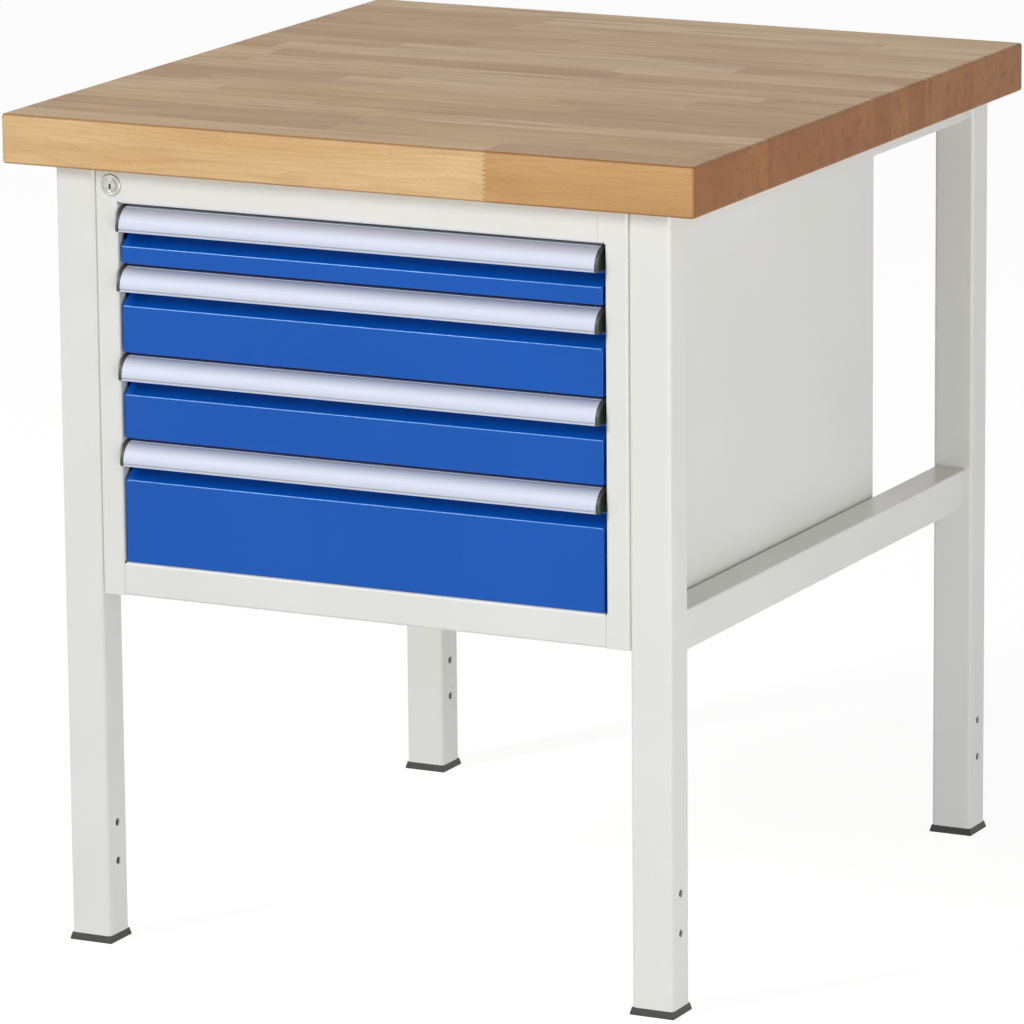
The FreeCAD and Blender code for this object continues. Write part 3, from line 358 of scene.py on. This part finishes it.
def oiledBeech(name, values):
    material, tree, shader, millimetres = newMaterial(name)
    axes = addNode(tree, "ShaderNodeSeparateXYZ", None, {0: millimetres})
    stave, random, ownTone, lively = staveNumbers(tree, axes, values)
    shift = addNode(tree, "ShaderNodeVectorMath",
                    {"operation": "SCALE", "Scale": values["patternReach"]}, {0: random.outputs["Color"]})
    wander = drawnNoise(tree, millimetres, "wander", shift, 2.0, values)
    ring = ringPattern(tree, axes, stave, random, wander, values)
    fibre = drawnNoise(tree, millimetres, "fibre", shift, 3.0, values)
    pore = drawnNoise(tree, millimetres, "pore", shift, 0.0, values)
    streak = drawnNoise(tree, millimetres, "streak", shift, 3.0, values)

    # the normal tells cut ends from the other faces
    facing = addNode(tree, "ShaderNodeNewGeometry").outputs["Normal"]
    facing = addNode(tree, "ShaderNodeVectorMath", {"operation": "ABSOLUTE"}, {0: facing})
    aside, ahead, above = addNode(tree, "ShaderNodeSeparateXYZ", None, {0: facing}).outputs
    side, end = values["endRange"]
    isEnd = addNode(tree, "ShaderNodeMapRange", {1: side, 2: end}, {0: aside})

    # the length's own tone drifts a little along it, and its cut end is nearer to the middle tone
    drift = addNode(tree, "ShaderNodeMath", {"operation": "MULTIPLY_ADD", 1: values["toneDrift"],
                                             2: values["toneStart"]}, {0: wander})
    drift = addNode(tree, "ShaderNodeMath", {"operation": "MULTIPLY"}, {0: drift, 1: lively})
    toneShare = addNode(tree, "ShaderNodeMath", {"operation": "MULTIPLY_ADD", 1: values["toneSpread"]},
                        {0: ownTone, 2: drift})
    tone = addNode(tree, "ShaderNodeValToRGB", None, {0: toneShare})
    ramp = tone.color_ramp
    ramp.elements[0].color = hexColour(values["paleColour"])
    ramp.elements[1].color = hexColour(values["brownColour"])
    ramp.elements.new(0.5).color = hexColour(values["warmColour"])
    evenness = addNode(tree, "ShaderNodeMath", {"operation": "MULTIPLY", 1: values["endCalm"]},
                       {0: isEnd})
    tone = addNode(tree, "ShaderNodeMix", {"data_type": "RGBA", 7: hexColour(values["warmColour"])},
                   {0: evenness, 6: tone})

    # late wood, fibres, streaks and pores each darken it in turn
    low, high = values["fibreRange"]
    fibreMask = addNode(tree, "ShaderNodeMapRange", {1: low, 2: high}, {0: fibre})
    low, high = values["streakRange"]
    streakMask = addNode(tree, "ShaderNodeMapRange", {1: low, 2: high}, {0: streak, 4: lively})
    low, high = values["poreRange"]
    poreMask = addNode(tree, "ShaderNodeMapRange", {1: low, 2: high}, {0: pore})
    colour = tone.outputs[2]
    for mask, share, darker in ((ring, values["ringShare"], values["lateColour"]),
                                (fibreMask, values["fibreShare"], values["lateColour"]),
                                (streakMask, values["streakShare"], values["lateColour"]),
                                (poreMask, values["poreShare"], values["poreColour"])):
        amount = addNode(tree, "ShaderNodeMath", {"operation": "MULTIPLY", 1: share}, {0: mask})
        colour = addNode(tree, "ShaderNodeMix", {"data_type": "RGBA", 7: hexColour(darker)},
                         {0: amount, 6: colour}).outputs[2]

    # cut ends drink more oil, so they are darker and redder; eased edges, found by their normal, are
    # darkened and reddened a little too
    flattest = addNode(tree, "ShaderNodeMath", {"operation": "MAXIMUM"}, {0: ahead, 1: above})
    flattest = addNode(tree, "ShaderNodeMath", {"operation": "MAXIMUM"}, {0: flattest, 1: aside})
    flat, eased = values["edgeRange"]
    isEdge = addNode(tree, "ShaderNodeMapRange", {1: flat, 2: eased, 4: values["edgeShare"]},
                     {0: flattest})
    endOrEdge = addNode(tree, "ShaderNodeMath", {"operation": "MAXIMUM"}, {0: isEnd, 1: isEdge})
    final = addNode(tree, "ShaderNodeMix", {"data_type": "RGBA", "blend_type": "MULTIPLY",
                                            7: hexColour(values["endAndEdgeTint"])}, {0: endOrEdge, 6: colour})
    bump = addNode(tree, "ShaderNodeBump", {"Strength": values["fibreStrength"],
                                            "Distance": values["fibreHeight"] / 1000},
                   {"Height": fibre})
    tree.links.new(final.outputs[2], shader.inputs["Base Color"])
    tree.links.new(bump.outputs[0], shader.inputs["Normal"])
    shader.inputs["Roughness"].default_value = values["roughness"]
    shader.inputs["IOR"].default_value = values["ior"]
    shader.inputs["Specular IOR Level"].default_value = values["gloss"]
    return material


finishes = {"beech": oiledBeech("oiled_beech", beech), "grey_paint": greyCoat, "blue_paint": blueCoat,
            "anodised_aluminium": aluminium, "grey_plastic": capNylon, "black_plastic": footPolyethylene,
            "satin_nickel": nickel, "zinc_steel": zinc}
for nodeName, node in nodes.items():
    for materialSlot in node.material_slots:
        materialSlot.material = finishes[slotOf[nodeName]]
print("finishes done:", len(finishes))


# Small helpers for pieces: outlines in a plane and surfaces carried along them, all in millimetres

def roundOutline(corners, radii, inset=0.0, steps=10, leastRadius=0.05):
    # Every side moves in by the inset, so each corner slides along its mitre, and then becomes an arc
    # that touches both sides: its centre lies on the bisector, radius / sin(half the corner) away. The
    # corners run anticlockwise; an arc that bulges outwards loses the inset from its radius, a hollow
    # one gains it.
    here = np.array(corners, float)
    ahead = np.roll(here, -1, axis=0) - here
    ahead /= np.linalg.norm(ahead, axis=1, keepdims=True)
    behind = -np.roll(ahead, 1, axis=0)
    inward = np.stack((-ahead[:, 1], ahead[:, 0]), axis=1)
    mitre = inward + np.roll(inward, 1, axis=0)
    here += mitre * inset / (mitre * mitre).sum(axis=1, keepdims=True) * 2
    bulge = np.sign(ahead[:, 0] * behind[:, 1] - ahead[:, 1] * behind[:, 0])
    radius = np.maximum(np.array(radii, float) - inset * bulge, leastRadius)
    half = np.arccos(np.clip((ahead * behind).sum(axis=1), -1, 1)) / 2
    middle = ahead + behind
    middle /= np.linalg.norm(middle, axis=1, keepdims=True)
    centre = here + middle * (radius / np.sin(half))[:, None]
    touch = (radius / np.tan(half))[:, None]
    first, last = here + behind * touch - centre, here + ahead * touch - centre
    sweep = (np.pi - 2 * half)[:, None]
    share = np.linspace(0, 1, steps)[None, :]
    weightFirst = np.sin((1 - share) * sweep) / np.sin(sweep)
    weightLast = np.sin(share * sweep) / np.sin(sweep)
    arcs = (centre[:, None] + weightFirst[..., None] * first[:, None]
            + weightLast[..., None] * last[:, None])
    return arcs.reshape(-1, 2)


def carryAlongX(outlines, places):
    # one row for each place along X; an outline in Y and Z stays the same or changes from row to row
    outlines = np.broadcast_to(outlines, (len(places),) + np.shape(outlines)[-2:])
    across = np.broadcast_to(np.array(places, float)[:, None, None], outlines.shape[:2] + (1,))
    return np.concatenate((across, outlines), axis=2)


def gridFaces(rows, columns, start, isRing):
    # quads between neighbouring rows; columns close on themselves, and so do the rows of a ring,
    # while other grids are filled at their first and last rows
    index = start + np.arange(rows * columns).reshape(rows, columns)
    if isRing:
        index = np.vstack((index, index[:1]))
    beside = np.roll(index, -1, axis=1)
    quads = np.stack((index[:-1], beside[:-1], beside[1:], index[1:]), axis=-1).reshape(-1, 4).tolist()
    return quads if isRing else quads + [index[0, ::-1].tolist(), index[-1].tolist()]


def makePiece(name, grids, replaced, sharpAngle=32.0, isRing=False):
    # a piece of one or more closed grids that stands for a CAD node, with its body, slot and finish
    mesh = bpy.data.meshes.new(name)
    starts = np.cumsum([0] + [grid.shape[0] * grid.shape[1] for grid in grids])
    points = np.concatenate([grid.reshape(-1, 3) for grid in grids]) / 1000
    faces = sum((gridFaces(*grid.shape[:2], start, isRing) for grid, start in zip(grids, starts)), [])
    mesh.from_pydata(points, [], faces)
    work = bmesh.new()
    work.from_mesh(mesh)
    bmesh.ops.recalc_face_normals(work, faces=work.faces)
    work.to_mesh(mesh)
    work.free()
    mesh.shade_smooth()
    mesh.set_sharp_from_angle(angle=math.radians(sharpAngle))
    mesh.materials.append(finishes[slotOf[replaced]])
    piece = bpy.data.objects.new(name, mesh)
    bpy.context.scene.collection.objects.link(piece)
    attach(piece, nodes[replaced]["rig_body"])
    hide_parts(replaced)
    return piece


def boxOf(nodeName):
    # lowest and highest corner of a CAD node, in millimetres
    low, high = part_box(nodeName)
    return np.array(low) * 1000, np.array(high) * 1000


# Drawer fronts: a blue sheet bent to a face, a bevel and a web behind the handle, with folded ends

front = {
    "sheet": 1.2,
    "headHeight": 40.0,     # from the face's upper bend to the top
    "bevelRise": 11.0,
    "bend": 3.6,            # outside radius of the two long bends
    "foot": 1.2,            # outside radius of the bend along the bottom
    "sideBend": 1.0,
    "sideSteps": 6,
    "cutEdge": 0.3,         # radius of the sheet's cut edges
    "plateFoot": 0.4,       # and of an end plate's lower back corner
}


def makeDrawerFront(number, values):
    # the sheet's section in Y and Z, with a radius at each corner, is carried straight along X
    low, high = boxOf("drawer_%d_front" % number)
    depth, height = high[1] - low[1], high[2] - low[2]
    sheet, bend, cut = values["sheet"], values["bend"], values["cutEdge"]
    bevelDepth = depth - sheet
    face = height - values["headHeight"]
    shoulder = face + values["bevelRise"]
    shortening = sheet * math.tan(math.atan2(bevelDepth, values["bevelRise"]) / 2)  # inside a bend
    section = [(0, 0), (depth, 0), (depth, sheet), (sheet, sheet), (sheet, face - shortening),
               (depth, shoulder - shortening), (depth, height), (bevelDepth, height),
               (bevelDepth, shoulder), (0, face)]
    radii = [values["foot"], cut, cut, cut, bend - sheet, bend, cut, cut, bend - sheet, bend]
    corner = low[1:]
    length = high[0] - low[0]
    bent = carryAlongX(roundOutline(section, radii) + corner, (low[0] + sheet, high[0] - sheet))
    # an end plate: its outer edge is a quarter circle, worked out as an inset for each depth
    plate = [(0, 0), (depth, 0), (depth, height), (bevelDepth, height), (bevelDepth, shoulder),
             (0, face)]
    plateRadii = [values["foot"], values["plateFoot"], cut, cut, bend - sheet, bend]
    turn = np.radians(np.linspace(0, 90, values["sideSteps"]))
    insets = np.append(values["sideBend"] * (1 - np.sin(turn)), 0.0)
    depths = np.append(values["sideBend"] * (1 - np.cos(turn)), sheet)
    outlines = np.stack([roundOutline(plate, plateRadii, inset) for inset in insets]) + corner
    ends = [carryAlongX(outlines, low[0] + depths), carryAlongX(outlines, low[0] + length - depths)]
    makePiece("drawer_%d_bent_front" % number, [bent] + ends, "drawer_%d_front" % number)


# Handles: a drawn strip whose grip is a quarter round, with a groove near its top and one near its
# foot, and a lip below it

handle = {
    "ledge": 2.8,           # flat top behind the grip
    "wall": 2.0,
    "plateHeight": 17.0,
    "grooves": (6.6, 33.5),     # along the profile from the grip's top
    "grooveHalf": 0.8,      # from a groove's middle to its side
    "grooveDepth": 1.1,
    "profileSteps": (8, 13, 44, 13, 4),     # points before, in, between, in and after the grooves
    "lipSteps": 13,
    "insideSteps": 24,
    "sharpAngle": 50.0,
    "capThickness": 3.8,
    "capEdge": 0.6,
    "capEdgeSteps": 5,
    "capCorner": 1.2,
    "capBack": 0.4,         # radius of the corners behind the strip
    "capRim": 1.7,
    "capRecess": 0.8,
    # the recess's wall: which share of its depth, and how far inside the rim's line
    "capSlope": ((1.0, 0.5), (0.8, 0.2), (0.2, 0.05), (0.0, -0.1)),
}


def handleOutline(reach, drop, values):
    # The profile runs a quarter circle about (ledge, radius below the top) and then straight down. In a
    # groove it moves in by depth * (1 + cos(180 * distance from the middle / grooveHalf)) / 2. A half
    # circle closes the lip, and the inside follows with a wall less.
    ledge, wall, side = values["ledge"], values["wall"], values["grooveHalf"]
    radius, half = reach - ledge, wall / 2
    quarter = radius * np.pi / 2
    upper, lower = values["grooves"]
    stops = (0, upper - side, upper + side, lower - side, lower + side, quarter + drop - radius - half)
    parts = [np.linspace(*part) for part in zip(stops, stops[1:], values["profileSteps"])]
    run = np.unique(np.concatenate(parts))[:-1]
    turn = np.minimum(run / radius, np.pi / 2)
    off = np.minimum(np.abs(run[:, None] - values["grooves"]).min(axis=1) / side, 1)
    outer = radius - values["grooveDepth"] * (1 + np.cos(np.pi * off)) / 2
    level = -radius - np.maximum(run - quarter, 0)
    grip = np.stack((-ledge - outer * np.sin(turn), level + outer * np.cos(turn)), axis=1)
    under = np.radians(np.linspace(0, 180, values["lipSteps"]))
    lip = np.stack((half - reach - half * np.cos(under), half - drop - half * np.sin(under)), axis=1)
    inner = radius - wall
    back = np.radians(np.linspace(90, 0, values["insideSteps"]))
    inside = np.stack((-ledge - inner * np.sin(back), -radius + inner * np.cos(back)), axis=1)
    foot = -values["plateHeight"]
    plate = np.array([(-wall, -wall), (-wall, foot), (0, foot), (0, 0)])
    return np.concatenate((grip, lip, inside, plate))


def makeHandle(number, values):
    # the profile, set at the back of the strip's top, is carried straight along X
    low, high = boxOf("drawer_%d_handle" % number)
    reach, drop = high[1] - low[1], high[2] - low[2]
    outline = handleOutline(reach, drop, values) + (high[1], high[2])
    makePiece("drawer_%d_grip_strip" % number, [carryAlongX(outline, (low[0], high[0]))],
              "drawer_%d_handle" % number, sharpAngle=values["sharpAngle"])


def makeHandleCaps(number, values):
    # each cap is a plate with soft edges: its outlines follow the slope of the recess out to the rim,
    # a quarter circle round the outer edge and another round the inner one
    low, high = boxOf("drawer_%d_handle_caps" % number)
    reach, drop = high[1] - low[1], high[2] - low[2]
    corners = [(0, 0), (-reach, 0), (-reach, -drop), (0, -drop)]
    radii = [values["capBack"], reach - values["ledge"], values["capCorner"], values["capBack"]]
    turn = np.radians(np.linspace(0, 90, values["capEdgeSteps"]))
    edge = values["capEdge"]
    share, slope = np.array(values["capSlope"]).T
    depths = np.concatenate((values["capRecess"] * share, edge * (1 - np.cos(turn)),
                             values["capThickness"] - edge * (1 - np.sin(turn))))
    insets = np.concatenate((values["capRim"] + slope, edge * (1 - np.sin(turn)),
                             edge * (1 - np.cos(turn))))
    outlines = np.stack([roundOutline(corners, radii, inset, steps=16) for inset in insets]) + high[1:]
    grids = [carryAlongX(outlines, low[0] + depths), carryAlongX(outlines, high[0] - depths)]
    makePiece("drawer_%d_end_caps" % number, grids, "drawer_%d_handle_caps" % number)


for number in drawerNumbers:
    makeDrawerFront(number, front)
    makeHandle(number, handle)
    makeHandleCaps(number, handle)
print("drawer fronts, grips and caps done")


# Lock: turned ring and barrel, and a turned core with a keyway

lock = {
    "around": 72,           # points in a circle
    "bore": 6.28,           # radii, from the middle out
    "core": 6.2,
    "barrel": 8.0,
    "ring": 11.0,
    "ringHeight": 2.0,
    # the turned face of the housing: off which radius, how far, and how deep behind the front
    "housingFace": (("bore", 0.0, 0.5), ("bore", 0.15, 0.15), ("bore", 0.5, 0.0), ("barrel", -0.6, 0.0),
                    ("barrel", -0.4, 0.1), ("barrel", -0.3, 0.7), ("barrel", 0.2, 0.7),
                    ("barrel", 0.35, 0.15), ("barrel", 0.7, 0.0), ("ring", -1.6, 0.05),
                    ("ring", -0.8, 0.3), ("ring", -0.25, 0.8), ("ring", 0.0, 1.4)),
    "coreFace": ((0.0, 0.5), (-0.15, 0.15), (-0.5, 0.0), (-1.1, 0.0), (-1.3, 0.25), (-1.6, 0.25),
                 (-1.8, 0.0)),
    "keywayWidth": 2.1,
    "keywayHeight": 5.3,
    "keywayDepth": 6.0,
    "keywayDrop": 1.3,      # the keyway sits below the core's middle
    "keywayPower": 8,       # the higher, the sharper its corners
    "keywayEdge": ((0.25, 0.0), (0.06, 0.08), (0.0, 0.3)),      # how much wider, and how deep
}


def turnedGrid(profile, centre, values):
    # each row is a circle about the lock's axis: the profile gives its radius and its depth behind the
    # front
    angle = np.linspace(0, 2 * np.pi, values["around"], endpoint=False)
    radius, depth = np.array(profile, float).T[:, :, None]
    return np.stack((centre[0] + radius * np.cos(angle), centre[1] + depth + 0 * angle,
                     centre[2] + radius * np.sin(angle)), axis=-1)


def makeLock(values):
    # the housing is a ring turned from a closed profile; the core's face runs in to the keyway's edge
    low, high = boxOf("lock_housing")
    centre = ((low[0] + high[0]) / 2, low[1], (low[2] + high[2]) / 2)
    bore, barrel, ring, thick = (values[key] for key in ("bore", "barrel", "ring", "ringHeight"))
    end = high[1] - low[1]
    profile = [(values[radius] + off, depth) for radius, off, depth in values["housingFace"]]
    profile += [(ring, thick), (barrel, thick), (barrel, end), (bore, end)]
    makePiece("lock_ring_and_barrel", [turnedGrid(profile, centre, values)], "lock_housing",
              isRing=True)

    low, high = boxOf("lock_core")
    core, end = values["core"], high[1] - low[1]
    centre = (centre[0], low[1], centre[2])
    profile = [(core, end)] + [(core + off, depth) for off, depth in values["coreFace"]]
    rim = turnedGrid(profile, centre, values)
    # the keyway's outline is a superellipse: |x / a|^power + |z / b|^power = 1
    angle = np.linspace(0, 2 * np.pi, values["around"], endpoint=False)
    half = np.array((values["keywayWidth"], values["keywayHeight"])) / 2
    power = values["keywayPower"]
    grow, depth = np.array(values["keywayEdge"] + ((0.0, values["keywayDepth"]),)).T[:, :, None]
    depth = depth + 0 * angle
    size = ((np.abs(np.cos(angle)) / (half[0] + grow)) ** power
            + (np.abs(np.sin(angle)) / (half[1] + grow)) ** power) ** (-1 / power)
    keyway = np.stack((centre[0] + size * np.cos(angle), centre[1] + depth,
                       centre[2] - values["keywayDrop"] + size * np.sin(angle)), axis=-1)
    makePiece("lock_plug", [np.concatenate((rim, keyway))], "lock_core")


makeLock(lock)
print("lock done")


# Floor, lights and camera

stage = {
    "floorSize": 60.0,
    "floorColour": "#EFEFEF",
    "floorRoughness": 0.9,
    "seenFloorColour": "#969696",   # what the eye sees: white with the glow, and the shadow stays
    "seenFloorGlow": 0.86,
    "horizonStrength": 0.9,     # the world's light near the horizon
    "zenithStrength": 0.0,      # and from straight above
}

softboxes = {
    "key_softbox": {            # high in front, to the left
        "place": (-3.3, -5.4, 4.4), "aim": (0.0, -0.3, 0.5), "size": (1.4, 2.7), "watts": 207.0},
    "low_softbox": {            # in front, to the right, near the floor
        "place": (1.97, -2.34, 0.24), "aim": (0.2, -0.3, 0.4), "size": (1.6, 0.4), "watts": 17.0},
    "side_softbox": {           # beside the bench, on the right
        "place": (2.4, -0.6, 0.5), "aim": (0.34, 0.1, 0.35), "size": (1.2, 0.9), "watts": 7.5},
}


def seenByEye(tree):
    # 1 for rays from the camera and for those that a shiny or clear surface sends on
    rays = addNode(tree, "ShaderNodeLightPath").outputs
    seen = addNode(tree, "ShaderNodeMath", {"operation": "MAXIMUM"},
                   {0: rays["Is Camera Ray"], 1: rays["Is Glossy Ray"]})
    return addNode(tree, "ShaderNodeMath", {"operation": "MAXIMUM"},
                   {0: seen, 1: rays["Is Transmission Ray"]})


def makeFloor(values):
    half = values["floorSize"] / 2
    mesh = bpy.data.meshes.new("floor")
    corners = [(-half, -half, 0), (half, -half, 0), (half, half, 0), (-half, half, 0)]
    mesh.from_pydata(corners, [], [(0, 1, 2, 3)])
    floor = bpy.data.objects.new("floor", mesh)
    bpy.context.scene.collection.objects.link(floor)
    material, tree, shader, millimetres = newMaterial("pale_studio_floor")
    seen = seenByEye(tree)
    colour = addNode(tree, "ShaderNodeMix", {"data_type": "RGBA", 6: hexColour(values["floorColour"]),
                                             7: hexColour(values["seenFloorColour"])}, {0: seen})
    glow = addNode(tree, "ShaderNodeMath", {"operation": "MULTIPLY", 1: values["seenFloorGlow"]},
                   {0: seen})
    tree.links.new(colour.outputs[2], shader.inputs["Base Color"])
    tree.links.new(glow.outputs[0], shader.inputs["Emission Strength"])
    shader.inputs["Emission Color"].default_value = (1.0, 1.0, 1.0, 1.0)
    shader.inputs["Roughness"].default_value = values["floorRoughness"]
    shader.inputs["Specular IOR Level"].default_value = 0.0
    mesh.materials.append(material)


def makeWorld(values):
    # white to the eye, and otherwise light that fades from the horizon up
    world = bpy.data.worlds.new("studio")
    bpy.context.scene.world = world
    world.use_nodes = True
    tree = world.node_tree
    tree.nodes.clear()
    direction = addNode(tree, "ShaderNodeTexCoord").outputs["Generated"]
    height = addNode(tree, "ShaderNodeSeparateXYZ", None, {0: direction}).outputs[2]
    light = addNode(tree, "ShaderNodeMapRange", {1: 0.0, 2: 1.0, 3: values["horizonStrength"],
                                                 4: values["zenithStrength"]}, {0: height})
    strength = addNode(tree, "ShaderNodeMix", {"data_type": "FLOAT", 3: 1.0},
                       {0: seenByEye(tree), 2: light})
    background = addNode(tree, "ShaderNodeBackground", {"Color": (1, 1, 1, 1)}, {"Strength": strength})
    addNode(tree, "ShaderNodeOutputWorld", None, {"Surface": background})


def makeSoftbox(name, values):
    # an area lamp shines along its own -Z, so its Z points from the aim back to its place
    lamp = bpy.data.lights.new(name, "AREA")
    lamp.shape = "RECTANGLE"
    lamp.size, lamp.size_y = values["size"]
    lamp.energy = values["watts"]
    softbox = bpy.data.objects.new(name, lamp)
    bpy.context.scene.collection.objects.link(softbox)
    softbox.location = values["place"]
    softbox.rotation_mode = "QUATERNION"
    backwards = Vector(values["place"]) - Vector(values["aim"])
    softbox.rotation_quaternion = backwards.to_track_quat("Z", "Y")
    softbox.visible_camera = False


makeFloor(stage)
makeWorld(stage)
for name, values in softboxes.items():
    makeSoftbox(name, values)

shot = {
    "focalPixels": 7188.6,      # the lens, in pixels of a picture 1024 pixels wide
    "pictureWidth": 1024,
    "sensorWidth": 36.0,
    "azimuth": 26.6, "elevation": 12.85, "roll": -0.5,
    "distance": 7.32641,        # metres from the aimed point, along the view
    "aside": 0.01651, "above": 0.0283,
    "target": (0.0, 0.0, 0.42),
    "clipStart": 0.1, "clipEnd": 200,
}


def makeCamera(values):
    # the place is the target plus distance * the direction behind, less the shifts across and upward
    azimuth, elevation, roll = (math.radians(values[key]) for key in ("azimuth", "elevation", "roll"))
    behind = Vector((math.sin(azimuth) * math.cos(elevation), -math.cos(azimuth) * math.cos(elevation),
                     math.sin(elevation)))
    level = Vector((math.cos(azimuth), math.sin(azimuth), 0))
    upright = behind.cross(level)
    across = math.cos(roll) * level + math.sin(roll) * upright
    upward = math.cos(roll) * upright - math.sin(roll) * level
    lens = bpy.data.cameras.new("camera")
    lens.sensor_width = values["sensorWidth"]
    lens.lens = values["focalPixels"] * values["sensorWidth"] / values["pictureWidth"]
    lens.clip_start, lens.clip_end = values["clipStart"], values["clipEnd"]
    camera = bpy.data.objects.new("camera", lens)
    bpy.context.scene.collection.objects.link(camera)
    place = Vector(values["target"]) + values["distance"] * behind
    place -= values["aside"] * across + values["above"] * upward
    turned = Matrix((across, upward, behind)).transposed().to_4x4()
    camera.matrix_world = Matrix.Translation(place) @ turned
    bpy.context.scene.camera = camera


makeCamera(shot)
bpy.context.scene.view_settings.view_transform = "Standard"
print("stage done")
